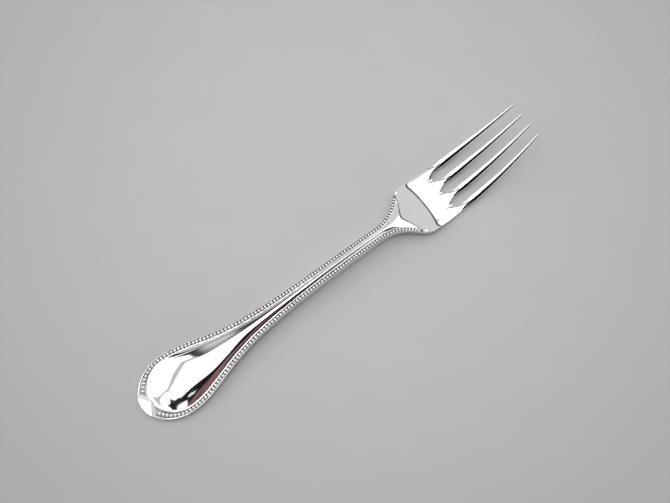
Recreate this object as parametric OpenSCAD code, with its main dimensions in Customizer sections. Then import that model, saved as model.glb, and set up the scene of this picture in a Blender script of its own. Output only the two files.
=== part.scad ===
// Dessert fork with a beaded handle, lying on its back.
// X runs from the handle's end to the tine tips, Y to the left, Z up from the table.
// The origin is under the middle of the fork. Inside the file, u is the distance from the handle's end.

/* [Handle outline] */
// Length of the handle, from its end to the middle of the shoulders' curve
handle_len = 119; // [110:0.5:128]
// Greatest width of the handle's blade
blade_w = 24; // [20:0.5:28]
// Distance from the handle's end to the blade's widest place
blade_at = 15.5; // [13:0.5:18]
// Length over which the blade narrows into the shank
blade_taper = 32; // [28:0.5:36]
// Least width of the shank
shank_w = 4.9; // [4.4:0.1:6]
// Radius of the hollow curve from the shank into the shoulder
hollow_r = 18; // [15:0.5:21]
// Radius of the full curve from the shoulder into the head
shoulder_r = 8.5; // [7:0.25:10]

/* [Head outline] */
// Length of the neck and palm, from the shoulders to the start of the free tines
palm_len = 23; // [20:0.5:27]
// Greatest width of the palm
palm_w = 21.2; // [20:0.2:22.4]
// Length of the tines past the palm
tine_len = 32; // [26:0.5:40]
// Distance between tine middles at the palm
pitch_root = 6; // [5.4:0.1:6.4]
// Distance between tine middles at the tips
pitch_tip = 4.85; // [4.4:0.05:5.4]
// Width of a tine at the palm
tine_w_root = 2.4; // [2:0.1:2.8]
// Width of a tine at its tip
tine_w_tip = 0.6; // [0.4:0.05:1]
// Length of the slots behind the free tines
slot_run = 6; // [4:0.1:8]
// Distance that the ground flanks run out on the palm
flank_run = 9; // [7:0.25:11]
// Drop of a flank from a tine's ridge to its side
flank_drop = 0.5; // [0.3:0.05:0.7]

/* [Side profile] */
// Height of the beaded edge at the top of the handle's arch
arch_h = 7.2; // [6:0.1:8.5]
// Distance from the handle's end to the top of the arch
arch_at = 88; // [80:1:96]
// Distance behind the shoulders at which the arch starts to fall into the palm
fall_from = 13; // [9:0.5:17]
// Length of the fall from the arch into the palm
fall_len = 32; // [27:0.5:36]
// Distance from the shoulders to the palm's lowest place
low_at = 14; // [11:0.5:17]
// Depth of the flat that the palm's back rests on
palm_flat = 0.2; // [0.1:0.05:0.3]
// Depth of the flat that the handle's end rests on
end_flat = 0.25; // [0.15:0.05:0.35]
// Height of the tine tips
tip_h = 16.2; // [12:0.2:20]

/* [Thickness] */
// Thickness at the handle's end
end_t = 2.05; // [1.8:0.05:2.4]
// Thickness of the shank below its beaded edge
shank_t = 3.4; // [2.8:0.1:4.2]
// Thickness of the palm
palm_t = 1.75; // [1.6:0.05:2.2]
// Thickness of a tine at its tip
tip_t = 0.9; // [0.6:0.05:1.3]
// Rise of the back from its middle to its sides
back_camber = 0.45; // [0.3:0.05:0.7]

/* [Panel] */
// Rise of the blade's panel above its border
blade_crown = 1.9; // [1.5:0.05:2.2]
// Distance from the handle's end to the panel's highest place
crown_at = 23; // [20:0.5:26]
// Rise of the shank's ridge above its border
shank_crown = 0.45; // [0.25:0.05:0.6]
// Share of the panel's rise that comes from the tighter roll of its sides
roll_share = 0.4; // [0.2:0.05:0.5]
// Hollow of the palm below its sides
palm_dish = 0.3; // [0.1:0.05:0.4]

/* [Bead border] */
// Diameter of the beads round the blade
bead_d_blade = 1.3; // [1.1:0.05:1.5]
// Diameter of the beads at the shoulders
bead_d_neck = 1.05; // [0.9:0.05:1.2]
// Gap between neighbouring beads
bead_gap = 0.12; // [0.08:0.01:0.2]
// Gap under each bead
bead_seat = 0.03; // [0.02:0.01:0.06]
// Width of the rim outside the beads of the blade
rim_w_blade = 0.35; // [0.25:0.05:0.5]
// Width of the rim outside the beads of the shank
rim_w_shank = 0.14; // [0.1:0.02:0.3]
// Distance that the beads run on past the middle of the shoulders' curve
bead_past = 0.6; // [0:0.1:1.6]
// Depth of the channel that holds the beads
channel_d = 0.45; // [0.3:0.05:0.6]
// Width of the fine raised line inside the beads
line_w = 0.25; // [0.15:0.05:0.4]
// Height of that line above the rim
line_h = 0.1; // [0.05:0.01:0.15]

/* [End tab] */
// Width of the plain tab at the handle's end
tab_w = 11.6; // [10:0.2:13]
// Length of the tab, from the handle's end to its point
tab_len = 5.6; // [5:0.1:6.4]
// Height of the tab above the rim
tab_rise = 0.55; // [0.3:0.05:0.8]
// Width of the bevels beside the tab's point
tab_bevel_w = 1.6; // [1:0.1:2]
// Depth of those bevels
tab_bevel_h = 0.6; // [0.3:0.05:0.8]
// Depth of the seat below the rim
tab_seat_d = 0.6; // [0.5:0.05:0.8]

/* [Hidden] */
silver = [0.80, 0.80, 0.81];
bright = [0.88, 0.88, 0.89];
tines = 4;
eps = 0.01;
far = 60;

// Places along the fork
tine_start = handle_len + palm_len;
fork_len = tine_start + tine_len;
blade_end = blade_at + 0.85 * blade_taper;
neck_start = handle_len - fall_from;
neck_end = handle_len + 3;
palm_low = handle_len + low_at;
fall_start = handle_len - fall_from;

// Half widths
blade_half = blade_w / 2;
shank_half = shank_w / 2;
palm_half = palm_w / 2;
tines_half = (tines - 1) / 2 * pitch_root + tine_w_root / 2;
slot_w = pitch_root - tine_w_root;

// Smooth step from 0 at a to 1 at b, with no jump in curvature
function step(a, b, u) =
    let (x = min(1, max(0, (u - a) / (b - a))))
    x * x * x * (6 * x * x - 15 * x + 10);
function mix(a, b, t) = a + (b - a) * t;

// Shoulder: a hollow arc and a full arc that touch each other at 45 degrees or so
hollow_y = shank_half + hollow_r;
full_y = palm_half - shoulder_r;
arcs_len = sqrt(pow(hollow_r + shoulder_r, 2) - pow(hollow_y - full_y, 2));
arcs_meet = arcs_len * hollow_r / (hollow_r + shoulder_r);
hollow_u = handle_len - arcs_meet;
full_u = hollow_u + arcs_len;
function shoulder(u) =
    u < hollow_u ? 0
    : u < handle_len ? hollow_r - sqrt(pow(hollow_r, 2) - pow(u - hollow_u, 2))
    : u < full_u ? full_y + sqrt(pow(shoulder_r, 2) - pow(full_u - u, 2)) - shank_half
    : mix(palm_half, tines_half, step(full_u, tine_start, u)) - shank_half;

// Outline's half width, past the widest place of the blade
function blade_share(u) = (1 - step(arch_at, neck_end, u)) / pow(1 + pow((u - blade_at) / blade_taper, 2), 2);
function half_width(u) = shank_half + shoulder(u) + (blade_half - shank_half) * blade_share(u);

// Upper edge seen from the side: a long arch that falls into the palm's upward sweep
end_h = end_t - end_flat;
palm_h = palm_t - palm_flat;
sweep = (tip_h - palm_h) / pow(fork_len - palm_low, 2);
arch_full = 0.4;
function arch_share(u) = let (s = sin(90 * u / arch_at)) mix(s * s, s, arch_full);
function arch_z(u) = end_h + (arch_h - end_h) * arch_share(u);
function head_z(u) = palm_h + sweep * pow(u - palm_low, 2);
function rim_z(u) = mix(arch_z(u), head_z(u), step(fall_start, fall_start + fall_len, u));
function thickness(u) =
    end_t + (shank_t - end_t) * step(0, arch_at, u)
    + (palm_t - shank_t) * step(fall_start, palm_low, u)
    + (tip_t - palm_t) * step(tine_start, fork_len, u);
function back_z(u) = rim_z(u) - thickness(u);

// Border: rim, bead channel and raised line fade out past the last beads
fade_len = 2.5;
bead_end = handle_len + bead_past;
function border(u) = 1 - step(bead_end, bead_end + fade_len, u);
function bead_r(u) = mix(bead_d_blade, bead_d_neck, step(blade_at, bead_end, u)) / 2;
rim_fade = 1.5 * blade_taper;
function rim_w(u) = mix(rim_w_blade, rim_w_shank, step(blade_at, blade_at + rim_fade, u));
function bead_inset(u) = rim_w(u) + bead_r(u) + bead_gap / 2;
function line_inset(u) = rim_w(u) + 2 * bead_r(u) + bead_gap;
function panel_inset(u) = line_inset(u) + 2 * line_w;

// Round end: each inset line is an ellipse whose end lies further in than its sides
end_ratio = 2.3;
spine_start = 0.72 * blade_at;

// A station is an angle round the blade's end up to 90, then runs on along the fork at the same pace
station_mm = (blade_at - end_ratio * bead_inset(blade_at)) * PI / 180;
function station(u) = 90 + (u - blade_at) / station_mm;
function side_u(t) = t < 90 ? blade_at : blade_at + (t - 90) * station_mm;
function plan(t, inset, share, start) =
    t < 90
    ? [blade_at - (blade_at - start) * cos(t), (blade_half - inset) * share * sin(t)]
    : [side_u(t), (half_width(side_u(t)) - inset) * share];
function edge_point(t, inset, drop) =
    let (p = plan(t, inset, 1, inset * end_ratio))
    [p[0], p[1], rim_z(p[0]) - drop];
function camber(t) = back_camber * pow(sin(min(t, 90)), 2) * (1 - step(palm_low, tine_start, side_u(t)));
function back_point(t, share) =
    let (p = plan(t, 0, share, (1 - share) * spine_start))
    [p[0], p[1], back_z(p[0]) + camber(t) * share * share];

// Panel: a long dome on the blade, a soft ridge on the shank, a shallow dish on the palm
end_fall = 1.38;
crown_taper = 25;
ridge_fade = handle_len - 9;
ridge_end = handle_len + 6;
dish_start = handle_len - 3;
roll_start = crown_at - 13;
roll_full = crown_at + 11;
roll_end = crown_at + 29;
roll_from = 0.65;
function bell(u) = 1 / pow(1 + pow((u - crown_at) / crown_taper, 2), 2);
function crown(u) =
    (1 - step(ridge_fade, ridge_end, u))
    * (u < crown_at
       ? blade_crown * (1 - end_fall * pow(1 - u / crown_at, 2))
       : mix(shank_crown, blade_crown, bell(u)));
function dish(u) = palm_dish * step(dish_start, palm_low, u) * (1 - step(palm_low, tine_start, u));
function roll(u) = roll_share * step(roll_start, roll_full, u) * (1 - step(roll_full, roll_end, u));
function panel_rise(u, v) =
    let (dome = 1 - pow(1 - v, 2),
         rolled = 1 - pow(max(0, 1 - v - roll_from) / (1 - roll_from), 2))
    crown(u) * mix(dome, rolled, roll(u)) - dish(u) * dome;
function panel_point(t, v) =
    let (inset = panel_inset(side_u(t)),
         p = plan(t, inset, 1 - v, mix(inset * end_ratio, spine_start, v)))
    [p[0], p[1], rim_z(p[0]) + panel_rise(p[0], v)];

// One side of a cross section, from the back's middle round the edge to the panel's middle
edge_round = 0.3;
rim_round = 0.7;
rim_drop = 0.6;
function edge_in(u) = mix(edge_round / 4, rim_round * rim_w(u), border(u));
function edge_drop(u) = mix(edge_round, rim_drop, border(u));
back_shares = [0, 0.35, 0.65, 0.9];
panel_steps = [0, 0.08, 0.18, 0.32, 0.52, 0.75, 1];
function half_section(t) =
    let (u = side_u(t),
         deep = channel_d * border(u),
         line = line_h * border(u),
         foot = plan(t, 0, 1, 0))
    concat(
        [for (s = back_shares) back_point(t, s)],
        [[foot[0], foot[1], back_z(foot[0]) + camber(t) + edge_round],
         edge_point(t, 0, edge_drop(u)),
         edge_point(t, edge_in(u), 0),
         edge_point(t, rim_w(u), 0),
         edge_point(t, rim_w(u) + edge_round / 4, deep),
         edge_point(t, line_inset(u) - edge_round / 4, deep),
         edge_point(t, line_inset(u), -line),
         edge_point(t, line_inset(u) + line_w, -line)],
        [for (v = panel_steps) panel_point(t, v)]);
function mirrored(p) = [p[0], 0 - p[1], p[2]];
function section(t) =
    let (half = half_section(t),
         last = len(half) - 1)
    concat(half, [for (j = [last - 1 : -1 : 1]) mirrored(half[j])]);
function sections(from, to, count) = [for (i = [0 : count]) section(mix(from, to, i / count))];

// Skin over a list of rings that all have the same number of points
module skin(rings, open_start = false) {
    n = len(rings[0]);
    last = len(rings) - 1;
    sides = [for (i = [0 : last - 1], j = [0 : n - 1])
        let (a = i * n + j, b = i * n + (j + 1) % n)
        each [[a, a + n, b], [b, a + n, b + n]]];
    start = open_start ? [] : [[for (j = [0 : n - 1]) j]];
    end = [[for (j = [n - 1 : -1 : 0]) last * n + j]];
    translate([-fork_len / 2, 0, 0])
        polyhedron([for (r = rings) each r], concat(sides, start, end), convexity = 8);
}

// Everything below the table, which leaves the small flats that the fork rests on
module table() {
    translate([-fork_len, -far, -far])
        cube([2 * fork_len, 2 * far, far]);
}

// Tab at the handle's end
tab_angle = asin(tab_w / blade_w);
tab_side = [blade_at - blade_at * cos(tab_angle), tab_w / 2];
tab_z = rim_z(0) - tab_seat_d;
tab_top = rim_z(0) + tab_rise;
tab_arc_steps = 12;
module tab_outline() {
    arc = [for (i = [-tab_arc_steps : tab_arc_steps])
        let (a = tab_angle * i / tab_arc_steps)
        [blade_at - blade_at * cos(a), blade_half * sin(a)]];
    polygon(concat(arc, [[tab_len, 0]]));
}
module tab_bevel() {
    run = [tab_side[0] - tab_len, tab_side[1]];
    translate([tab_len, 0, tab_top - tab_bevel_h])
        rotate([0, 0, atan2(run[1], run[0])])
        rotate([atan2(tab_bevel_h, tab_bevel_w), 0, 0])
        translate([-far, -far, 0])
        cube([2 * far, 2 * far, far]);
}
module end_tab() {
    color(bright)
    translate([-fork_len / 2, 0, 0])
    difference() {
        translate([0, 0, tab_z])
            linear_extrude(tab_top - tab_z) tab_outline();
        tab_bevel();
        mirror([0, 1, 0]) tab_bevel();
    }
}
module tab_seat() {
    translate([-fork_len / 2, 0, tab_z])
        linear_extrude(far) tab_outline();
}

// Handle
blade_rings = 14;
taper_rings = 8;
module handle_blade() {
    color(silver)
    difference() {
        skin(concat(sections(0, 90, blade_rings),
                    sections(station(blade_at + blade_taper / 12), station(blade_end), taper_rings)),
             open_start = true);
        tab_seat();
        table();
    }
}
shank_rings = 11;
module shank() {
    color(silver)
        skin(sections(station(blade_end), station(neck_start), shank_rings));
}
neck_rings = 12;
module neck() {
    color(silver)
        skin(sections(station(neck_start), station(neck_end), neck_rings));
}

// Palm: the slots and the flanks that a grinding wheel leaves between the tines
palm_rings = 10;
slope = flank_drop / (tine_w_root / 2);
wheel_depth = slope * pitch_root / 2;
wheel_r = 1 / (2 * (wheel_depth / pow(flank_run, 2) + sweep));
wheel_tilt = atan(2 * sweep * (tine_start - palm_low));
module slot(y) {
    translate([tine_start - slot_run + slot_w / 2, y, 0]) {
        cylinder(h = 2 * far, d = slot_w, center = true, $fn = 48);
        translate([0, -slot_w / 2, -far]) cube([far, slot_w, 2 * far]);
    }
}
module wheel(y) {
    translate([tine_start, y, rim_z(tine_start) - wheel_depth])
        rotate([0, -wheel_tilt, 0])
        translate([0, 0, wheel_r])
        for (side = [-90, 90])
            rotate([side, 0, 0])
            cylinder(h = pitch_root / 2, r1 = wheel_r, r2 = wheel_r - wheel_depth, $fn = 96);
}
module palm() {
    color(silver)
    difference() {
        skin(sections(station(neck_end), station(tine_start), palm_rings));
        table();
        translate([-fork_len / 2, 0, 0]) {
            for (i = [1 : tines - 1]) slot((i - tines / 2) * pitch_root);
            for (i = [0 : tines]) wheel((i - tines / 2) * pitch_root);
        }
    }
}

// Tines: a roof-shaped upper side and a narrower back, curving up and drawing together to the tips
tine_rings = 14;
draw_power = 1.6;
back_share = 0.7;
function tine_part(u) = (u - tine_start) / tine_len;
function pitch(u) = mix(pitch_root, pitch_tip, pow(tine_part(u), draw_power));
function tine_half(u) = mix(tine_w_root, tine_w_tip, tine_part(u)) / 2;
function tine_ring(i, u) =
    let (y = (i - (tines + 1) / 2) * pitch(u),
         w = tine_half(u),
         top = rim_z(u),
         side = top - slope * w,
         low = mix(back_z(u), side, 0.35))
    [[u, y + back_share * w, back_z(u)],
     [u, y + w, low],
     [u, y + w, side],
     [u, y, top],
     [u, y - w, side],
     [u, y - w, low],
     [u, y - back_share * w, back_z(u)]];
module tine(i) {
    color(silver)
        skin([for (k = [0 : tine_rings]) tine_ring(i, tine_start + tine_len * k / tine_rings)]);
}

// Beads: domes along the channel, each one bead gap from the next
function bead_path(t) =
    let (inset = bead_inset(side_u(t)))
    edge_point(t, inset, channel_d * border(side_u(t)) - bead_seat);
function bead_advance(t) =
    (2 * bead_r(side_u(t)) + bead_gap) / (norm(bead_path(t + eps) - bead_path(t)) / eps);
function bead_stations(t, end) = t > end ? [] : concat([t], bead_stations(t + bead_advance(t), end));
tab_lean = (tab_len - tab_side[0]) / tab_side[1];
function tab_distance(p) = (p[0] + tab_lean * p[1] - tab_len) / norm([1, tab_lean]);
function first_clear(t) = tab_distance(bead_path(t)) > bead_d_blade ? t : first_clear(t + 0.25);
beads = bead_stations(first_clear(0), station(bead_end));
module dome(r) {
    rotate_extrude($fn = 24)
        intersection() {
            circle(r = r, $fn = 24);
            square(r);
        }
}
module bead_row(side) {
    color(bright)
    for (t = beads) {
        p = bead_path(t);
        pitch_angle = atan2(rim_z(p[0] + eps) - rim_z(p[0] - eps), 2 * eps);
        translate([p[0] - fork_len / 2, side * p[1], p[2]])
            rotate([0, -pitch_angle, 0])
            dome(bead_r(side_u(t)));
    }
}

handle_blade();
shank();
neck();
palm();
tine(1);  // tine_1
tine(2);  // tine_2
tine(3);  // tine_3
tine(4);  // tine_4
bead_row(1);  // bead_row_left
bead_row(-1);  // bead_row_right
end_tab();
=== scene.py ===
"""Dessert fork with a beaded handle: its looks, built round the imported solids."""

import math

import bmesh
import bpy
import numpy as np
from mathutils import Matrix, Vector


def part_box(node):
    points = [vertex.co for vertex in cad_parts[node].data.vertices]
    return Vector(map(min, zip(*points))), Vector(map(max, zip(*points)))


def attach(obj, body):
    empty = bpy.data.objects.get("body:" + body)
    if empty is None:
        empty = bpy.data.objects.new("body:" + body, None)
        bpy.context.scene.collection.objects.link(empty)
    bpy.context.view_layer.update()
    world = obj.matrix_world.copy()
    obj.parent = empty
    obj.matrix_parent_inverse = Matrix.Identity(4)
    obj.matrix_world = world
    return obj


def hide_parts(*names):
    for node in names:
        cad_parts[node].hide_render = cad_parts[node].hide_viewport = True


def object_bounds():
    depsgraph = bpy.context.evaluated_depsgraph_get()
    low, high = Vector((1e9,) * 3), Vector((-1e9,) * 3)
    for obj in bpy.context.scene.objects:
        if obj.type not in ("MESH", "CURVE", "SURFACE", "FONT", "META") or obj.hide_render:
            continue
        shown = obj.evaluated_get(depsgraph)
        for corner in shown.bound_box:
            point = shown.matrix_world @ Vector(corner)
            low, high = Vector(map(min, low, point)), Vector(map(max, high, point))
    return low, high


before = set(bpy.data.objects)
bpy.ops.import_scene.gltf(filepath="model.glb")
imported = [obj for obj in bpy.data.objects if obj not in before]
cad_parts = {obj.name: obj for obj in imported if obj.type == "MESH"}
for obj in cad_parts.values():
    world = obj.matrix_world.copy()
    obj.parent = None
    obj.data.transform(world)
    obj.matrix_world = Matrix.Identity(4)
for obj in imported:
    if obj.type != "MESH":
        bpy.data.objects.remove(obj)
cad_lo, cad_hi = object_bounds()

# Lengths are in millimetres, as in the solids' source: u runs from the handle's end, y to the left, z up
MM = 0.001


def reach(node):
    """Where a node starts and ends along the fork."""
    low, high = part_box(node)
    return (low.x - cad_lo.x) / MM, (high.x - cad_lo.x) / MM


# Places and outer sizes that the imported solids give
FORK_LEN = (cad_hi.x - cad_lo.x) / MM
BLADE_HALF = cad_hi.y / MM
TIP_H = cad_hi.z / MM
NECK_START, NECK_END = reach("neck")
TINE_START = reach("tine_1")[0]

# Handle outline
HANDLE_LEN = 119
BLADE_AT = 15.5
BLADE_TAPER = 32
SHANK_HALF = 2.45
HOLLOW_R = 18
SHOULDER_R = 8.5

# Head outline
PALM_HALF = 10.6
PITCH_ROOT = 6
PITCH_TIP = 4.85
TINE_HALF_ROOT = 1.2
TINE_HALF_TIP = 0.3
SLOT_RUN = 6
FLANK_RUN = 9
FLANK_DROP = 0.5
DRAW_POWER = 1.6

# Side profile and thickness
END_H = 1.8
ARCH_H = 7.2
ARCH_AT = 88
ARCH_FULL = 0.4
FALL_LEN = 32
PALM_LOW = 133
PALM_H = 1.55
END_T = 2.05
SHANK_T = 3.4
PALM_T = 1.75
TIP_T = 0.9
BACK_CAMBER = 0.45

# Panel: a long dome whose sides roll down more tightly along the taper
CROWN = 1.9
CROWN_AT = 23
CROWN_FALL = 1.38
CROWN_TAPER = 25
RIDGE = 0.45
RIDGE_FADE = HANDLE_LEN - 9
RIDGE_END = HANDLE_LEN + 6
ROLL_SHARE = 0.4
ROLL_FROM = 0.65
ROLL_START = 10
ROLL_FULL = 34
ROLL_END = 52
PALM_DISH = 0.3
DISH_START = HANDLE_LEN - 3

# Bead border
BEAD_R_BLADE = 0.65
BEAD_R_NECK = 0.525
BEAD_GAP = 0.12
BEAD_SEAT = 0.03
RIM_W_BLADE = 0.35
RIM_W_SHANK = 0.14
RIM_FADE = 1.5 * BLADE_TAPER
BEAD_END = 119.6
FADE_LEN = 2.5
CHANNEL_D = 0.45
CHANNEL_POWER = 6
LINE_W = 0.25
LINE_H = 0.12
END_RATIO = 2.3
SPINE_START = 0.72 * BLADE_AT

# End tab
TAB_W = 11.6
TAB_LEN = 5.6
TAB_RISE = 0.55
TAB_BEVEL_W = 1.6
TAB_BEVEL_H = 0.6
TAB_SEAT_D = 0.6

# Softened edges
EDGE_IN = 0.1
EDGE_DROP = 0.14
RIM_ROUND = 0.8
RIM_DROP = 0.7
FOOT_SHARE = 0.2
FOOT_RISE = 0.3
SLOT_ROUND = 0.1
EASE_W = 1.4
EASE_D = 0.12
CREASE = 0.06
NOSE = 0.4
TINE_FOOT_SHARE = 0.3
TINE_FOOT_RISE = 0.35
TINE_FOOT_RUN = 4

# Tarnish with painted shade in the bead channel and at the beads' feet, painted shade at the tab's seam and
# the tine creases: strength, and the height or share over which it fades
CHANNEL_END_DARK = 0.8
CHANNEL_END_POWER = 4
TAB_SEAM_SHADE_STRENGTH = 0.85
TAB_SEAM_H = 0.2
CREASE_SHADE_STRENGTH = 0.8
CREASE_H = 0.09
BEAD_FOOT_SHADE_H = 0.6


def step(a, b, u):
    """Smooth step from 0 at a to 1 at b, with no jump in curvature."""
    x = np.clip((u - a) / (b - a), 0, 1)
    return x ** 3 * (6 * x * x - 15 * x + 10)


def mix(a, b, t):
    return a + (b - a) * t


# Outline
SLOT_HALF = PITCH_ROOT / 2 - TINE_HALF_ROOT
SLOT_U = TINE_START - SLOT_RUN + SLOT_HALF
FULL_Y = PALM_HALF - SHOULDER_R
ARCS_LEN = math.sqrt((HOLLOW_R + SHOULDER_R) ** 2 - (SHANK_HALF + HOLLOW_R - FULL_Y) ** 2)
HOLLOW_U = HANDLE_LEN - ARCS_LEN * HOLLOW_R / (HOLLOW_R + SHOULDER_R)
FULL_U = HOLLOW_U + ARCS_LEN
TINES_HALF = 1.5 * PITCH_ROOT + TINE_HALF_ROOT


def shoulder(u):
    """Widening from the shank: a hollow arc, a full arc, then the palm's side."""
    hollow = HOLLOW_R - np.sqrt(np.maximum(HOLLOW_R ** 2 - (u - HOLLOW_U) ** 2, 0))
    full = FULL_Y + np.sqrt(np.maximum(SHOULDER_R ** 2 - (FULL_U - u) ** 2, 0)) - SHANK_HALF
    palm = mix(PALM_HALF, TINES_HALF, step(FULL_U, TINE_START, u)) - SHANK_HALF
    return np.select([u < HOLLOW_U, u < HANDLE_LEN, u < FULL_U], [0 * u, hollow, full], palm)


def half_width(u):
    share = (1 - step(ARCH_AT, NECK_END, u)) / (1 + ((u - BLADE_AT) / BLADE_TAPER) ** 2) ** 2
    return SHANK_HALF + shoulder(u) + (BLADE_HALF - SHANK_HALF) * share


# Heights
SWEEP = (TIP_H - PALM_H) / (FORK_LEN - PALM_LOW) ** 2


def rim_z(u):
    """Upper edge seen from the side: an arch that falls into the palm's upward sweep."""
    turn = np.sin(np.pi / 2 * u / ARCH_AT)
    arch = END_H + (ARCH_H - END_H) * mix(turn ** 2, turn, ARCH_FULL)
    head = PALM_H + SWEEP * (u - PALM_LOW) ** 2
    return mix(arch, head, step(NECK_START, NECK_START + FALL_LEN, u))


def thickness(u):
    return (END_T + (SHANK_T - END_T) * step(0, ARCH_AT, u)
            + (PALM_T - SHANK_T) * step(NECK_START, PALM_LOW, u)
            + (TIP_T - PALM_T) * step(TINE_START, FORK_LEN, u))


def back_z(u):
    return rim_z(u) - thickness(u)


# Border
def border(u):
    return 1 - step(BEAD_END, BEAD_END + FADE_LEN, u)


def bead_r(u):
    return mix(BEAD_R_BLADE, BEAD_R_NECK, step(BLADE_AT, BEAD_END, u))


def rim_w(u):
    return mix(RIM_W_BLADE, RIM_W_SHANK, step(BLADE_AT, BLADE_AT + RIM_FADE, u))


def edge_in(u):
    """Width of the rounding at the outer edge: wide along the rim, fine on the palm."""
    return mix(EDGE_IN, RIM_ROUND * rim_w(u), border(u))


def edge_drop(u):
    return mix(EDGE_DROP, RIM_DROP, border(u))


def line_inset(u):
    return rim_w(u) + 2 * bead_r(u) + BEAD_GAP


def panel_inset(u):
    return line_inset(u) + 2 * LINE_W


def crown(u):
    """Height of the panel's middle above its border: up from the end, then down to the shank's low ridge."""
    before = 1 - CROWN_FALL * (1 - u / CROWN_AT) ** 2
    bell = 1 / (1 + ((u - CROWN_AT) / CROWN_TAPER) ** 2) ** 2
    height = np.where(u < CROWN_AT, CROWN * before, mix(RIDGE, CROWN, bell))
    return height * (1 - step(RIDGE_FADE, RIDGE_END, u))


def panel_rise(u, v):
    """Height above the border at share v from the panel's side to its middle, less the palm's dish."""
    q = 1 - v
    rolled = np.maximum(q - ROLL_FROM, 0) / (1 - ROLL_FROM)
    share = ROLL_SHARE * step(ROLL_START, ROLL_FULL, u) * (1 - step(ROLL_FULL, ROLL_END, u))
    dish = PALM_DISH * step(DISH_START, PALM_LOW, u) * (1 - step(PALM_LOW, TINE_START, u))
    return crown(u) * mix(1 - q ** 2, 1 - rolled ** 2, share) - dish * (1 - q ** 2)


def oval(angle, u, inset, share, start):
    """Plan of an inset line: an ellipse round the end up to 90 degrees, then the side at u."""
    return u - (BLADE_AT - start) * np.cos(angle), (half_width(u) - inset) * share * np.sin(angle)


# End tab: its sides and heights
TAB_ANGLE = math.asin(TAB_W / 2 / BLADE_HALF)
TAB_SIDE = (BLADE_AT - BLADE_AT * math.cos(TAB_ANGLE), TAB_W / 2)
TAB_LEAN = (TAB_LEN - TAB_SIDE[0]) / TAB_SIDE[1]


def from_tab(x, y):
    """Distance past the sides of the tab's gable."""
    return (x + TAB_LEAN * np.abs(y) - TAB_LEN) / math.hypot(1, TAB_LEAN)


def tab_z(x, y):
    """Height of the tab's plateau and bevels."""
    return END_H + TAB_RISE - np.maximum(from_tab(x, y) + TAB_BEVEL_W, 0) * TAB_BEVEL_H / TAB_BEVEL_W


# Columns of a section, as many as the palm's lanes have: slot, tine, slot, tine from the middle out
TOP_LANES = [10, 14, 20, 16]
BACK_LANES = [10, 6, 20, 6]
ROUND_STEPS = 5
WALL_STEPS = 3
RIM_X = np.array([0, 0.5])
CHANNEL_X = np.array([0, 0.03, 0.08, 0.2, 0.5, 0.8, 0.92, 0.97])
LINE_X = np.array([0, 0.12, 0.3, 0.5, 0.7, 0.88])
PANEL_POWER = 1.25
PANEL_STEPS = sum(TOP_LANES) + 1 - len(RIM_X) - len(CHANNEL_X) - len(LINE_X)
PANEL_V = np.linspace(0, 1, PANEL_STEPS) ** PANEL_POWER


def top_columns():
    """Columns from the edge to the middle: shares of four inset lines, drop and share of the panel."""
    rows = [(1 - x, x, 0, 0, 0, 0) for x in RIM_X]
    rows += [(0, 1 - x, x, 0, CHANNEL_D * (1 - abs(2 * x - 1) ** CHANNEL_POWER), 0) for x in CHANNEL_X]
    rows += [(0, 0, 1 - x, x, -LINE_H * math.sin(math.pi * x), 0) for x in LINE_X]
    rows += [(0, 0, 0, 1, 0, v) for v in PANEL_V]
    return np.array(rows).T


COL_EDGE, COL_RIM, COL_LINE, COL_PANEL, COL_DROP, COL_V = top_columns()


def column_inset(u):
    return COL_EDGE * edge_in(u) + COL_RIM * rim_w(u) + COL_LINE * line_inset(u) + COL_PANEL * panel_inset(u)


def xyz(x, y, z):
    return np.stack(np.broadcast_arrays(x, y, z), axis=-1)


def quarter(steps):
    """Angles of a quarter turn in so many steps."""
    return np.linspace(0, np.pi / 2, steps + 1)


# Handle: half sections from the back's middle round the edge to the panel's middle
JOIN_U = NECK_END + 1
END_ROWS = 60
SIDE_ROWS = 330


def handle_half():
    """Half of the handle as a grid of points, and each point's share of tarnish and painted shade."""
    angle = np.concatenate([quarter(END_ROWS)[:-1], np.full(SIDE_ROWS, np.pi / 2)])[:, None]
    side = np.concatenate([np.full(END_ROWS, BLADE_AT), np.linspace(BLADE_AT, JOIN_U, SIDE_ROWS)])[:, None]
    camber = BACK_CAMBER * np.sin(angle) ** 2

    def back(share, lift):
        x, y = oval(angle, side, 0, share, (1 - share) * SPINE_START)
        return xyz(x, y, np.maximum(back_z(x) + camber * share ** 2 + lift, 0))

    def edge(inset, drop):
        x, y = oval(angle, side, inset, 1, inset * END_RATIO)
        return xyz(x, y, rim_z(x) - drop)

    under = back(np.linspace(0, 1 - FOOT_SHARE, sum(BACK_LANES) + 1), 0)
    bend = quarter(ROUND_STEPS)[1:]
    foot = back(1 - FOOT_SHARE * (1 - np.sin(bend)), FOOT_RISE * (1 - np.cos(bend)))
    lip = quarter(ROUND_STEPS)[:-1]
    upper = edge(edge_in(side) * (1 - np.cos(lip)), edge_drop(side) * (1 - np.sin(lip)))
    rise = np.linspace(0, 1, WALL_STEPS + 1)[1:-1]
    upright = foot[:, -1:] + (upper[:, :1] - foot[:, -1:]) * rise[None, :, None]
    inset = column_inset(side)
    x, y = oval(angle, side, inset, 1 - COL_V, mix(inset * END_RATIO, SPINE_START, COL_V))
    top = xyz(x, y, rim_z(x) - COL_DROP * border(side) + panel_rise(x, COL_V))
    grid = np.concatenate([under, foot, upright, upper, top], axis=1)
    recess = np.zeros(grid.shape[:2])
    # Tarnish with painted shade in the bead channel, a little weaker round the end
    strength = mix(CHANNEL_END_DARK, 1, np.sin(angle) ** CHANNEL_END_POWER)
    hollow = np.clip(COL_DROP / CHANNEL_D, 0, 1) * border(side) * strength
    # Painted shade along the line where the panel meets the tab
    seam_shade = TAB_SEAM_SHADE_STRENGTH * np.clip(1 - np.abs(top[..., 2] - tab_z(x, y)) / TAB_SEAM_H, 0, 1)
    recess[:, -len(COL_DROP):] = np.maximum(hollow, seam_shade)
    return grid, recess


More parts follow.
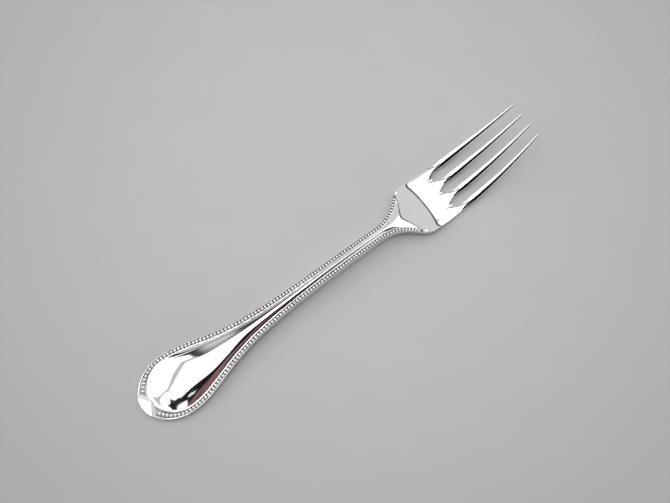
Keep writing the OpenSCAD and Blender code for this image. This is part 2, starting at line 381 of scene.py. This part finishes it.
# Head: heights of the palm and tines
SLOPE = FLANK_DROP / TINE_HALF_ROOT
WHEEL_DEPTH = SLOPE * PITCH_ROOT / 2
WHEEL_CURVE = WHEEL_DEPTH / FLANK_RUN ** 2 + SWEEP
LANE_FULL = 131


def smooth_min(a, b, width):
    share = np.maximum(width - np.abs(a - b), 0) / width
    return np.minimum(a, b) - share ** 2 * width / 4


def tine_part(u):
    return np.clip((u - TINE_START) / (FORK_LEN - TINE_START), 0, 1)


def pitch(u):
    return mix(PITCH_ROOT, PITCH_TIP, tine_part(u) ** DRAW_POWER)


def tine_half(u):
    return mix(TINE_HALF_ROOT, TINE_HALF_TIP, tine_part(u))


def palm_z(u, y):
    """Palm's dished upper side with eased edges."""
    width = half_width(u)
    v = np.clip(1 - np.abs(y) / (width - panel_inset(u)), 0, 1)
    near = np.clip(1 - (width - np.abs(y)) / EASE_W, 0, 1)
    return rim_z(u) + panel_rise(u, v) - EASE_D * near ** 2 * step(JOIN_U, LANE_FULL, u)


def flank_z(u, y):
    """Flanks that a grinding wheel leaves on both sides of each slot."""
    from_slot = np.abs(y - PITCH_ROOT * np.round(y / PITCH_ROOT))
    back = TINE_START - u
    return (rim_z(TINE_START) - 2 * SWEEP * (TINE_START - PALM_LOW) * back - WHEEL_DEPTH
            + SLOPE * from_slot + WHEEL_CURVE * back ** 2)


def head_top(u, y):
    on_palm = smooth_min(palm_z(np.minimum(u, TINE_START), y), flank_z(np.minimum(u, TINE_START), y), CREASE)
    ridge = (np.floor(y / pitch(u)) + 0.5) * pitch(u)
    on_tine = smooth_min(rim_z(u), rim_z(u) - SLOPE * np.abs(y - ridge), CREASE)
    return np.where(u < TINE_START, on_palm, on_tine)


def painted_crease_shade(u, y):
    """Painted shade along the line where a flank meets the palm."""
    gap = np.abs(palm_z(np.minimum(u, TINE_START), y) - flank_z(np.minimum(u, TINE_START), y))
    return CREASE_SHADE_STRENGTH * np.clip(1 - gap / CREASE_H, 0, 1) * (u < TINE_START)


def head_back(u, y):
    camber = BACK_CAMBER * (1 - step(PALM_LOW, TINE_START, u))
    share = y / half_width(np.minimum(u, TINE_START))
    return np.maximum(back_z(u) + camber * share ** 2, 0)


def lip_in(u):
    return EDGE_IN * tine_half(u) / TINE_HALF_ROOT


def foot_part(u):
    """Share of the way from the slot's rounding to the tine's."""
    return step(SLOT_U, TINE_START + TINE_FOOT_RUN, u)


def foot_in(u):
    return mix(SLOT_ROUND, TINE_FOOT_SHARE * tine_half(u), foot_part(u))


def foot_rise(u):
    side = thickness(u) - SLOPE * tine_half(u)
    return mix(SLOT_ROUND, TINE_FOOT_RISE * side, foot_part(u))


def outer_foot(u):
    """Width and rise of the rounding under the outer edge, from the handle's to the tine's."""
    share = step(JOIN_U, SLOT_U, u)
    return mix(FOOT_SHARE * half_width(u), foot_in(u), share), mix(FOOT_RISE, foot_rise(u), share)


def wall(point, out, top, lip, bottom, foot, rise):
    """Strip from the upper side over a rounded edge, down the wall through point and under it."""
    lip_a = quarter(ROUND_STEPS)
    foot_a = quarter(ROUND_STEPS)[1:]
    depth_top = lip[:, None] * (1 - np.sin(lip_a))
    z_top = top[:, None] - EDGE_DROP / EDGE_IN * lip[:, None] * (1 - np.cos(lip_a))
    depth_foot = foot[:, None] * (1 - np.cos(foot_a))
    z_foot = bottom[:, None] + rise[:, None] * (1 - np.sin(foot_a))
    start = bottom + rise
    fall = np.linspace(0, 1, WALL_STEPS + 1)[1:]
    z_wall = z_top[:, -1:] + (start[:, None] - z_top[:, -1:]) * fall
    depth = np.concatenate([depth_top, 0 * z_wall, depth_foot], axis=1)
    z = np.concatenate([z_top, z_wall, z_foot], axis=1)
    flat = point[:, None, :] - out[:, None, :] * depth[..., None]
    return np.concatenate([flat, z[..., None]], axis=-1)


# Palm: the handle's columns move into lanes, and the slots' round ends bend the rows
SLOT_R = SLOT_HALF + SLOT_ROUND
PALM_ROWS = 90


def slot_turns(counts):
    """Angles round the end of the middle slot's half and round the end of the side slot."""
    return quarter(counts[0]), np.linspace(0, np.pi, counts[2] + 1)


def lanes(counts, u, margin):
    """Where each column lies across the palm, from the middle out, with a margin at the outer edge."""
    tine_b, tine_d = counts[1::2]
    turn_a, turn_c = slot_turns(counts)
    inner = np.linspace(0, 1, tine_b + 1)[1:-1]
    outer = np.linspace(0, 1, tine_d + 1)[1:]
    wide = np.ones_like(u[:, :1])
    y_a = SLOT_R * np.sin(turn_a) * wide
    y_b = mix(SLOT_R, PITCH_ROOT - SLOT_R, inner) * wide
    y_c = (PITCH_ROOT - SLOT_R * np.cos(turn_c)) * wide
    y_d = mix(PITCH_ROOT + SLOT_R, half_width(u[:, -tine_d:]) - margin[:, -tine_d:], outer)
    return np.concatenate([y_a, y_b, y_c, y_d], axis=1)


def lane_ends(counts):
    """Where each column ends along the palm."""
    tine_b, tine_d = counts[1::2]
    turn_a, turn_c = slot_turns(counts)
    return np.concatenate([SLOT_U - SLOT_R * np.cos(turn_a), np.full(tine_b - 1, SLOT_U),
                           SLOT_U - SLOT_R * np.sin(turn_c), np.full(tine_d, SLOT_U)])


def palm_half():
    """Half of the palm: upper side, outer edge and back, and the painted shade in its creases."""
    rows = np.linspace(0, 1, PALM_ROWS)[:, None]
    # Upper side, from the middle out
    u = JOIN_U + (lane_ends(TOP_LANES) - JOIN_U) * rows
    handle_y = (half_width(u) - column_inset(u[:, ::-1])[:, ::-1]) * (1 - COL_V[::-1])
    lane_y = lanes(TOP_LANES, u, EDGE_IN + 0 * u)
    y = mix(handle_y, lane_y, step(JOIN_U, LANE_FULL, u))
    top = xyz(u, y, head_top(u, y))
    # Painted shade along the creases where the flanks meet the palm
    crease_shade = painted_crease_shade(u, y)
    # Back, from the middle out
    u = JOIN_U + (lane_ends(BACK_LANES) - JOIN_U) * rows
    share = np.linspace(0, 1 - FOOT_SHARE, sum(BACK_LANES) + 1)
    handle_y = half_width(u) * share
    lane_y = lanes(BACK_LANES, u, outer_foot(u)[0])
    y = mix(handle_y, lane_y, step(JOIN_U, LANE_FULL, u))
    under = xyz(u, y, head_back(u, y))
    # Outer edge
    u = (JOIN_U + (SLOT_U - JOIN_U) * rows)[:, 0]
    width, rise = outer_foot(u)
    point = np.stack([u, half_width(u)], axis=1)
    out = np.tile([0.0, 1.0], (len(u), 1))
    edge = wall(point, out, top[:, -1, 2], EDGE_IN + 0 * u, under[:, -1, 2], width, rise)
    return top, edge, under, crease_shade


def slot_end(top, under, lane, centre_y):
    """Wall round the end of a slot, between the last rows of the palm's two sides."""
    first = sum(TOP_LANES[:lane])
    above = top[-1, first:first + TOP_LANES[lane] + 1]
    first = sum(BACK_LANES[:lane])
    below = under[-1, first:first + BACK_LANES[lane] + 1]
    centre = np.array([SLOT_U, centre_y])
    out = (centre - above[:, :2]) / SLOT_R
    point = above[:, :2] + out * SLOT_ROUND
    same = np.full(len(above), SLOT_ROUND)
    return wall(point, out, above[:, 2], same, below[:, 2], same, same)


# Tines
TINE_ROWS = 110
NOSE_ROWS = 8


def tine_rings(place, top_count, back_count):
    """Rings of one tine from its slot to its rounded tip; place is 0.5 or 1.5 pitches from the middle."""
    run = np.linspace(0, 1, TINE_ROWS)
    body = SLOT_U + (FORK_LEN - NOSE - SLOT_U) * run
    u = np.concatenate([body, FORK_LEN - NOSE + NOSE * np.sin(quarter(NOSE_ROWS)[1:])])
    inner = place * pitch(u) - tine_half(u)
    outer = place * pitch(u) + tine_half(u)
    if place > 1:
        outer = np.where(u < TINE_START, half_width(np.minimum(u, TINE_START)), outer)
    lip = lip_in(u)
    foot = foot_in(u)
    rise = foot_rise(u)
    across = np.linspace(0, 1, top_count + 1)
    y = (inner + lip)[:, None] + (outer - inner - 2 * lip)[:, None] * across
    top = xyz(u[:, None], y, head_top(u[:, None], y))
    across = np.linspace(0, 1, back_count + 1)
    y = (inner + foot)[:, None] + (outer - inner - 2 * foot)[:, None] * across
    under = xyz(u[:, None], y, head_back(u[:, None], y))
    out = np.tile([0.0, 1.0], (len(u), 1))
    outside = wall(np.stack([u, outer], 1), out, top[:, -1, 2], lip, under[:, -1, 2], foot, rise)
    inside = wall(np.stack([u, inner], 1), -out, top[:, 0, 2], lip, under[:, 0, 2], foot, rise)
    ring = np.concatenate([top[:, :-1], outside[:, :-1], under[:, :0:-1], inside[:, :0:-1]], axis=1)
    # Painted shade along the crease where the tine's flank meets the palm
    crease_shade = np.zeros(ring.shape[:2])
    crease_shade[:, :top_count] = painted_crease_shade(u[:, None], top[:, :-1, 1])
    middle = xyz(u, place * pitch(u), rim_z(u) - thickness(u) / 2)[:, None]
    left = np.clip((FORK_LEN - u) / NOSE, 0, 1)
    shrink = np.sqrt(1 - (1 - left) ** 2)[:, None, None]
    shrink[:TINE_ROWS] = 1
    return middle + (ring - middle) * shrink, crease_shade


# Meshes
WELD = 0.0002


def grid_faces(rows, columns, cyclic=False):
    """Quads between neighbouring points of a grid."""
    i, j = np.meshgrid(np.arange(rows - 1), np.arange(columns if cyclic else columns - 1), indexing="ij")
    k = (j + 1) % columns
    here = i * columns
    after = here + columns
    return np.stack([here + j, here + k, after + k, after + j], axis=-1).reshape(-1, 4)


def to_frame(points):
    """Millimetres from the handle's end to metres in the frame."""
    return (points.reshape(-1, 3) + [cad_lo.x / MM, 0, 0]) * MM


def link(mesh):
    piece = bpy.data.objects.new(mesh.name, mesh)
    bpy.context.scene.collection.objects.link(piece)
    return piece


def smooth_piece(name, points, faces, recess, open_sides=0):
    """Welded piece with its open rings closed; recess is each point's share of tarnish and painted shade in
    crevices and creases.
    """
    mesh = bpy.data.meshes.new(name)
    mesh.from_pydata(np.concatenate(points).tolist(), [], np.concatenate(faces).tolist())
    mesh.attributes.new("recess", "FLOAT", "POINT").data.foreach_set("value", np.concatenate(recess))
    work = bmesh.new()
    work.from_mesh(mesh)
    bmesh.ops.remove_doubles(work, verts=work.verts, dist=WELD * MM)
    bmesh.ops.dissolve_degenerate(work, edges=work.edges, dist=WELD * MM)
    if open_sides:
        bmesh.ops.holes_fill(work, edges=work.edges, sides=open_sides)
    bmesh.ops.recalc_face_normals(work, faces=work.faces)
    work.to_mesh(mesh)
    work.free()
    mesh.shade_smooth()
    return link(mesh)


class Patches:
    """Grids of points that are mirrored, welded and made into one mesh."""

    def __init__(self):
        self.points = []
        self.recess = []
        self.faces = []
        self.count = 0

    def add(self, grid, cyclic=False, recess=None):
        faces = grid_faces(grid.shape[0], grid.shape[1], cyclic)
        for side in (1, -1):
            self.points.append(to_frame(grid * [1, side, 1]))
            self.recess.append(np.zeros(grid.shape[:2]).ravel() if recess is None else recess.ravel())
            self.faces.append((faces if side > 0 else faces[:, ::-1]) + self.count)
            self.count += grid.shape[0] * grid.shape[1]

    def piece(self, name):
        return smooth_piece(name, self.points, self.faces, self.recess)


def make_body():
    """The fork without its tab and beads, as one seamless piece."""
    patches = Patches()
    handle, recess = handle_half()
    patches.add(handle, recess=recess)
    top, edge, under, crease_shade = palm_half()
    palm = np.concatenate([under, edge[:, -2:0:-1], top[:, ::-1]], axis=1)
    # Painted shade in the palm's creases goes on its upper side
    recess = np.zeros(palm.shape[:2])
    recess[:, -crease_shade.shape[1]:] = crease_shade[:, ::-1]
    patches.add(palm, recess=recess)
    patches.add(slot_end(top, under, 0, 0))
    patches.add(slot_end(top, under, 2, PITCH_ROOT))
    for place, lane in ((0.5, 1), (1.5, 3)):
        ring, crease_shade = tine_rings(place, TOP_LANES[lane], BACK_LANES[lane])
        patches.add(ring, cyclic=True, recess=crease_shade)
    return patches.piece("fork_body")


# Beads
BEAD_AROUND = 20
BEAD_UP = 6
BEAD_SKIRT = 0.08
SEARCH_STEP = 0.25
PACE_STEP = 0.01
SLOPE_RUN = 0.1
STATION_MM = (BLADE_AT - END_RATIO * (RIM_W_BLADE + BEAD_R_BLADE + BEAD_GAP / 2)) * math.pi / 180


def bead_side(t):
    return max(BLADE_AT, BLADE_AT + (t - 90) * STATION_MM)


def bead_path(t):
    """Middle of a bead's foot at station t: an angle up to 90, then a run along the side."""
    side = bead_side(t)
    inset = rim_w(side) + bead_r(side) + BEAD_GAP / 2
    x, y = oval(math.radians(min(t, 90)), np.float64(side), inset, 1, inset * END_RATIO)
    return np.array([x, y, rim_z(x) - CHANNEL_D * border(side) + BEAD_SEAT])


def bead_stations():
    """Stations of the beads along their path, from the tab to the neck."""
    t = 0
    while from_tab(*bead_path(t)[:2]) <= 2 * BEAD_R_BLADE:
        t += SEARCH_STEP
    while bead_side(t) <= BEAD_END:
        yield t
        pace = np.linalg.norm(bead_path(t + PACE_STEP) - bead_path(t)) / PACE_STEP
        t += (2 * bead_r(bead_side(t)) + BEAD_GAP) / pace


def make_beads(name, side):
    """One row of domes, each with a short skirt that sinks into the channel."""
    turn = np.linspace(0, 2 * np.pi, BEAD_AROUND, endpoint=False)
    rise = quarter(BEAD_UP)
    radius = np.append(1, np.cos(rise))[:, None]
    height = np.append(0, np.sin(rise))[:, None]
    # Tarnish with painted shade darkens each dome towards its foot
    low = np.clip(1 - height / BEAD_FOOT_SHADE_H, 0, 1)
    pattern = grid_faces(len(height), BEAD_AROUND, cyclic=True)
    points = []
    faces = []
    recess = []
    for t in bead_stations():
        foot = bead_path(t)
        r = bead_r(bead_side(t))
        dome = xyz(r * radius * np.cos(turn), r * radius * np.sin(turn), r * height)
        dome[0, :, 2] -= BEAD_SKIRT
        slope = np.arctan2(rim_z(foot[0] + SLOPE_RUN) - rim_z(foot[0] - SLOPE_RUN), 2 * SLOPE_RUN)
        tilt = np.array(Matrix.Rotation(-slope, 3, "Y"))
        dome = dome.reshape(-1, 3) @ tilt.T + foot
        faces.append(pattern + len(points) * len(dome))
        points.append(to_frame(dome * [1, side, 1]))
        recess.append(np.repeat(low, BEAD_AROUND))
    return smooth_piece(name, points, faces, recess, open_sides=BEAD_AROUND)


# End tab piece
TAB_ARC_STEPS = 24
TAB_SOFT = 0.09
TAB_SOFT_STEPS = 3
TAB_SOFT_ANGLE = math.radians(14)


def make_tab():
    """Keystone with a gable point: an upright block, cut by a bevel on each side of its point."""
    top = END_H + TAB_RISE
    low = END_H - TAB_SEAT_D
    arc = [TAB_ANGLE * i / TAB_ARC_STEPS for i in range(-TAB_ARC_STEPS, TAB_ARC_STEPS + 1)]
    outline = [(BLADE_AT - BLADE_AT * math.cos(a), BLADE_HALF * math.sin(a)) for a in arc]
    outline.append((TAB_LEN, 0))
    work = bmesh.new()
    foot = [work.verts.new((x, y, low)) for x, y in outline]
    base = work.faces.new(foot)
    raised = bmesh.ops.extrude_face_region(work, geom=[base])["geom"]
    upper = [v for v in raised if isinstance(v, bmesh.types.BMVert)]
    bmesh.ops.translate(work, verts=upper, vec=(0, 0, top - low))
    tilt = math.atan2(TAB_BEVEL_H, TAB_BEVEL_W)
    for side in (1, -1):
        run = Vector((TAB_SIDE[0] - TAB_LEN, side * TAB_SIDE[1], 0))
        out = run.cross(Vector((0, 0, 1))).normalized() * side
        normal = out * math.sin(tilt) + Vector((0, 0, math.cos(tilt)))
        geom = list(work.verts) + list(work.edges) + list(work.faces)
        cut = bmesh.ops.bisect_plane(work, geom=geom, plane_co=(TAB_LEN, 0, top - TAB_BEVEL_H),
                                     plane_no=normal, clear_outer=True)
        rim = [e for e in cut["geom_cut"] if isinstance(e, bmesh.types.BMEdge)]
        bmesh.ops.edgeloop_fill(work, edges=rim)
    bmesh.ops.recalc_face_normals(work, faces=work.faces)
    for v in work.verts:
        v.co = Vector(to_frame(np.array(v.co))[0])
    mesh = bpy.data.meshes.new("tab")
    work.to_mesh(mesh)
    work.free()
    mesh.shade_smooth()
    tab = link(mesh)
    soft = tab.modifiers.new("softened_edges", "BEVEL")
    soft.width = TAB_SOFT * MM
    soft.segments = TAB_SOFT_STEPS
    soft.limit_method = "ANGLE"
    soft.angle_limit = TAB_SOFT_ANGLE
    soft.harden_normals = True
    return tab


# Nodes
def add(tree, kind, inputs=None, **settings):
    """New node with its settings and input values."""
    node = tree.nodes.new(kind)
    for name, value in settings.items():
        setattr(node, name, value)
    for name, value in (inputs or {}).items():
        node.inputs[name].default_value = value
    return node


def feed(tree, place, value):
    """Link a socket to an input, or set the input to a plain value."""
    if isinstance(value, bpy.types.NodeSocket):
        tree.links.new(value, place)
    else:
        place.default_value = value


def blend(tree, share, first, second):
    """Colour between two, each a plain colour or a socket."""
    node = add(tree, "ShaderNodeMix", data_type="RGBA")
    tree.links.new(share, node.inputs["Factor"])
    for name, colour in (("A", first), ("B", second)):
        feed(tree, node.inputs[name], (*colour, 1) if isinstance(colour, tuple) else colour)
    return node.outputs["Result"]


def remap(tree, value, start, end, low=0, high=1, smooth=False):
    """From low to high as the value goes from start to end; smooth eases both ends."""
    node = add(tree, "ShaderNodeMapRange",
               {"From Min": start, "From Max": end, "To Min": low, "To Max": high},
               interpolation_type="SMOOTHSTEP" if smooth else "LINEAR")
    tree.links.new(value, node.inputs["Value"])
    return node.outputs["Result"]


# Silver, with noise scales per metre
SILVER_LIGHT = (0.95, 0.945, 0.935)
SILVER_DULL = (0.915, 0.905, 0.89)
# Tarnish deepened with painted shade: the colour that the recess attribute blends in
TARNISH_AND_SHADE = (0.1, 0.094, 0.09)
POLISHED_ROUGH = (0.03, 0.055)
BEAD_ROUGH = (0.05, 0.09)
FILM = {"Scale": 260, "Detail": 4}
HAZE = {"Scale": 900, "Detail": 6}
HAIRS = {"Scale": 1, "Detail": 3}
HAIR_STRETCH = (400, 9000, 9000)
HAIR_BUMP = {"Strength": 0.03, "Distance": 0.00002}
NOISE_START = 0.3
NOISE_END = 0.7


def new_material(name):
    material = bpy.data.materials.new(name)
    material.use_nodes = True
    tree = material.node_tree
    return material, tree, tree.nodes["Principled BSDF"]


def noise(tree, place, grain):
    node = add(tree, "ShaderNodeTexNoise", grain)
    tree.links.new(place, node.inputs["Vector"])
    return node.outputs["Fac"]


def spread_noise(tree, place, grain, low=0, high=1):
    """Noise with its usual values stretched from low to high."""
    return remap(tree, noise(tree, place, grain), NOISE_START, NOISE_END, low, high)


def silver(name, rough):
    """Mirror polish with a faint film, wiped haze, hairlines along the fork, and tarnish with painted shade
    in the recesses.
    """
    material, tree, shader = new_material(name)
    shader.inputs["Metallic"].default_value = 1
    place = add(tree, "ShaderNodeTexCoord").outputs["Object"]
    polish = blend(tree, spread_noise(tree, place, FILM), SILVER_LIGHT, SILVER_DULL)
    recess = add(tree, "ShaderNodeAttribute", attribute_name="recess").outputs["Fac"]
    # Base colour darkens where the recess attribute is set: tarnish with painted shade in the bead channel
    # and at the beads' feet, painted shade at the tab's seam and the tine creases
    tree.links.new(blend(tree, recess, polish, TARNISH_AND_SHADE), shader.inputs["Base Color"])
    tree.links.new(spread_noise(tree, place, HAZE, *rough), shader.inputs["Roughness"])
    stretch = add(tree, "ShaderNodeMapping", {"Scale": HAIR_STRETCH})
    tree.links.new(place, stretch.inputs["Vector"])
    bump = add(tree, "ShaderNodeBump", HAIR_BUMP)
    tree.links.new(noise(tree, stretch.outputs["Vector"], HAIRS), bump.inputs["Height"])
    tree.links.new(bump.outputs["Normal"], shader.inputs["Normal"])
    return material


# Table top, in metres
FLOOR_SIZE = 4
FLOOR_LIGHT = (0.555, 0.557, 0.557)
FLOOR_DARK = (0.54, 0.542, 0.542)
# Colour of the painted shade far from the fork
FLOOR_FALLOFF_SHADE = (0.4, 0.401, 0.401)
FLOOR_MIDDLE = (0.0226, 0.0305, 0)
FLOOR_NEAR = 0.03
FLOOR_FALL = 0.22
FLOOR_ROUGH = 0.75
FLOOR_SHINE = 0.2
MOTTLE = {"Scale": 60, "Detail": 5}


def table_top():
    """Plain pale grey board with a faint mottle, and painted shade that darkens it away from the fork as the
    light falls off.
    """
    material, tree, shader = new_material("table_top")
    place = add(tree, "ShaderNodeTexCoord").outputs["Object"]
    board = blend(tree, spread_noise(tree, place, MOTTLE), FLOOR_LIGHT, FLOOR_DARK)
    # Painted shade: the board darkens with distance from the fork as if the light fell off
    away = add(tree, "ShaderNodeVectorMath", {1: FLOOR_MIDDLE}, operation="DISTANCE")
    tree.links.new(place, away.inputs[0])
    falloff_shade = remap(tree, away.outputs["Value"], FLOOR_NEAR, FLOOR_FALL, smooth=True)
    tree.links.new(blend(tree, falloff_shade, board, FLOOR_FALLOFF_SHADE), shader.inputs["Base Color"])
    shader.inputs["Roughness"].default_value = FLOOR_ROUGH
    shader.inputs["Specular IOR Level"].default_value = FLOOR_SHINE
    return material


# Pieces
polished = silver("polished_silver", POLISHED_ROUGH)
body = make_body()
body.data.materials.append(polished)
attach(body, "root")
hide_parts("handle_blade", "shank", "neck", "palm", "tine_1", "tine_2", "tine_3", "tine_4")

tab = make_tab()
tab.data.materials.append(polished)
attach(tab, "root")
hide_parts("end_tab")

beaded = silver("bead_silver", BEAD_ROUGH)
for row_name, row_side in (("bead_row_left", 1), ("bead_row_right", -1)):
    row = make_beads(row_name.replace("bead_row", "beads"), row_side)
    row.data.materials.append(beaded)
    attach(row, "root")
    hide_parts(row_name)

# Floor
half = FLOOR_SIZE / 2
corners = [(-half, -half, 0), (half, -half, 0), (half, half, 0), (-half, half, 0)]
floor_mesh = bpy.data.meshes.new("floor")
floor_mesh.from_pydata(corners, [], [(0, 1, 2, 3)])
floor = link(floor_mesh)
floor.data.materials.append(table_top())

# Light: a studio painted by direction, in degrees from overhead, x towards the tips and y to the left
PANEL = (1.7, 1.7, 1.7)
LAMP = (9, 9, 9)
FILL = (1.1, 1.1, 1.1)
WALL = (0.66, 0.655, 0.66)
DIM = (0.82, 0.82, 0.82)
SEAM = (0.55, 0.55, 0.555)
GLOOM = (0.05, 0.05, 0.052)
BLACK = (0.012, 0.011, 0.011)
BROWN = (0.215, 0.117, 0.115)
PALE_BROWN = (0.24, 0.175, 0.172)
SKY_DEGREES = math.degrees(2)
world = bpy.data.worlds.new("studio")
bpy.context.scene.world = world
world.use_nodes = True
sky = world.node_tree


def sky_math(operation, first, second):
    node = add(sky, "ShaderNodeMath", operation=operation)
    feed(sky, node.inputs[0], first)
    feed(sky, node.inputs[1], second)
    return node.outputs["Value"]


def past(value, edge, soft):
    """From 0 to 1 across a soft edge; a negative softness turns it round."""
    return remap(sky, value, edge - soft, edge + soft, smooth=True)


def panel(*edges):
    """Where all edges are passed. Each is a direction's value, a place and a softness."""
    mask = past(*edges[0])
    for edge in edges[1:]:
        mask = sky_math("MULTIPLY", mask, past(*edge))
    return mask


def either(mask, *others):
    for other in others:
        mask = sky_math("MAXIMUM", mask, other)
    return mask


def slant(along_x, along_y):
    return sky_math("ADD", sky_math("MULTIPLY", sky_x, along_x), sky_math("MULTIPLY", sky_y, along_y))


aim = add(sky, "ShaderNodeSeparateXYZ")
sky.links.new(add(sky, "ShaderNodeTexCoord").outputs["Generated"], aim.inputs["Vector"])
height = sky_math("ADD", sky_math("MAXIMUM", aim.outputs["Z"], 0), 1)
sky_x = sky_math("MULTIPLY", sky_math("DIVIDE", aim.outputs["X"], height), SKY_DEGREES)
sky_y = sky_math("MULTIPLY", sky_math("DIVIDE", aim.outputs["Y"], height), SKY_DEGREES)

# Slanted lines that several edges follow
across = slant(0.8, -0.6)
along = slant(0.6, 0.8)
low_slant = slant(0.3, 1)
down_right = slant(0.54, 1)
cupboard_line = slant(0.7, 1)
small_line = slant(0.96, 0.53)
steep = slant(1.2, 1)
corner = slant(1.5, 1)
seam_line = slant(0.878, -0.496)
room_edges = ((down_right, -13.6, 0.7), (slant(0.25, 1), -7.8, 0.7))

# What the silver mirrors, from the back to the front: its colour and where it lies
studio = {
    # Right side: a dark room with a brown cupboard and two small windows, between light walls
    "far_wall": (FILL, panel((sky_y, -50, -4))),
    "room": (BLACK, panel((low_slant, -3, -1), (sky_y, -50, 3), (sky_x, 13.5, -1.5), (sky_x, -25, 1))),
    "room_low": (BLACK, panel((sky_y, -13, -1), (sky_y, -50, 3), (sky_x, 0, -1), (sky_x, -70, 5))),
    "room_high": (BLACK, panel((sky_y, -24, -1), (sky_y, -82, 3), (sky_x, 32, -3), (sky_x, -12, 2))),
    "cupboard": (BROWN, panel((cupboard_line, -24.5, -1), (corner, -33, 1.5), (sky_x, 26, -3))),
    "cupboard_face": (PALE_BROWN, panel((cupboard_line, -24.5, -1), (slant(2, 1), -15.6, 1.2),
                                        (down_right, -33.5, 1.5), (sky_x, 6.8, 0.7), (sky_x, 26, -3))),
    "cupboard_gap": (GLOOM, panel((sky_y, -31.2, -0.3), (sky_y, -33.7, 0.3),
                                  (sky_x, -1.2, 0.5), (sky_x, 6.6, -0.5))),
    "window": (FILL, panel((along, -17.4, -0.4), (along, -22.5, 0.7), (sky_x, -9.5, -0.7), (sky_x, -26, 2))),
    "small_window": (FILL, panel((small_line, -13.2, -0.4), (small_line, -14.6, 0.3),
                                 (across, 0.5, 0.5), (across, 5.6, -0.6))),
    # Left side: the shade round the near panel, then that panel
    "shade": (GLOOM, panel((slant(-2.5, 1), 27, 7), (sky_x, -8, 1), (sky_y, 78, -3))),
    "shade_edge": (GLOOM, panel((sky_x, 4.5, -2.5), (sky_x, -4, 1), (sky_y, 18, 2), (sky_y, 78, -3))),
    "near_panel": (PANEL, either(
        panel((sky_x, -1.5, -1), (sky_x, -85, 5), (sky_y, 64, -2), *room_edges),
        panel((sky_x, 0.3, -0.7), (sky_x, -3, 1), (slant(-1.3, 1), 60, -1), *room_edges),
        panel((sky_x, 14, -1), (sky_x, -3, 1), (sky_y, 61.2, 0.5), (sky_y, 65, -0.5)))),
    # Overhead panel in front of it, with its frame
    "frame": (SEAM, either(
        panel((slant(-0.16, 1), 18.8, -0.5), *room_edges, (sky_x, -12, -1), (sky_x, -34, 1)),
        panel((seam_line, -21.4, 0.5), (steep, 31, -0.8), *room_edges, (sky_x, 1.2, -0.7)))),
    "frame_shade": (GLOOM, panel((sky_x, 46.5, -0.7), (sky_x, 20, 2), (sky_y, 23, -1), (sky_y, 4, 1))),
    "overhead": (PANEL, either(
        panel((low_slant, 2, -0.5), *room_edges, (sky_x, -12, -1), (sky_x, -60, 3)),
        panel((seam_line, -17.8, 0.5), (steep, 26.5, -0.8), *room_edges,
              (sky_y, -8.7, 0.7), (sky_x, 8, -2)))),
    "overhead_tips": (PANEL, panel((sky_x, 4, 1), (sky_x, 44, -0.7), (sky_y, -8.7, 0.7), (sky_y, 21, -0.8))),
    "left_wall": (WALL, panel((sky_x, 34, 1), (sky_x, 44, -0.7), (low_slant, 32.4, 0.5), (sky_y, 26, -1))),
    "overhead_right": (PANEL, panel((sky_x, 15, 1.5), (sky_x, 33, -0.7), (sky_y, 0, -1), (sky_y, -22, 1.5))),
    "right_wall": (WALL, panel((sky_x, 34, 1), (sky_x, 60, -1), (sky_y, -2, -1), (sky_y, -22, 1.5))),
    "left_panel": (DIM, panel((sky_x, 31, 0.7), (sky_x, 44, -1), (sky_y, 31, 0.7), (sky_y, 44, -1))),
    "lamp": (LAMP, panel((seam_line, -9, 2), (sky_y, 4, -2), (sky_x, 6, -2), (sky_y, -5, 1.5))),
    # Corner of the dark room in front of both panels
    "room_corner": (BLACK, panel((corner, -31.3, -1), (sky_y, 1.5, -0.7),
                                 (sky_x, -22.4, 0.5), (down_right, -17, 1))),
}
seen = WALL
for label, (colour, mask) in studio.items():
    seen = blend(sky, mask, seen, colour)
    seen.node.label = label
sky.links.new(seen, sky.nodes["Background"].inputs["Color"])

# Camera, in metres
CAMERA_ELEVATION = math.radians(73)
CAMERA_TURN = math.radians(37.12)
CAMERA_FOV = math.radians(16)
CAMERA_AWAY = 0.8725
CAMERA_TARGET = Vector((0.00387, 0.00579, 0))
camera_data = bpy.data.cameras.new("camera")
camera_data.sensor_fit = "HORIZONTAL"
camera_data.angle = CAMERA_FOV
camera = bpy.data.objects.new("camera", camera_data)
bpy.context.scene.collection.objects.link(camera)
to_camera = Vector((-math.sin(CAMERA_TURN) * math.cos(CAMERA_ELEVATION),
                    -math.cos(CAMERA_TURN) * math.cos(CAMERA_ELEVATION),
                    math.sin(CAMERA_ELEVATION)))
camera.location = CAMERA_TARGET + to_camera * CAMERA_AWAY
camera.rotation_mode = "QUATERNION"
camera.rotation_quaternion = (-to_camera).to_track_quat("-Z", "Y")
bpy.context.scene.camera = camera
bpy.context.scene.view_settings.view_transform = "Standard"
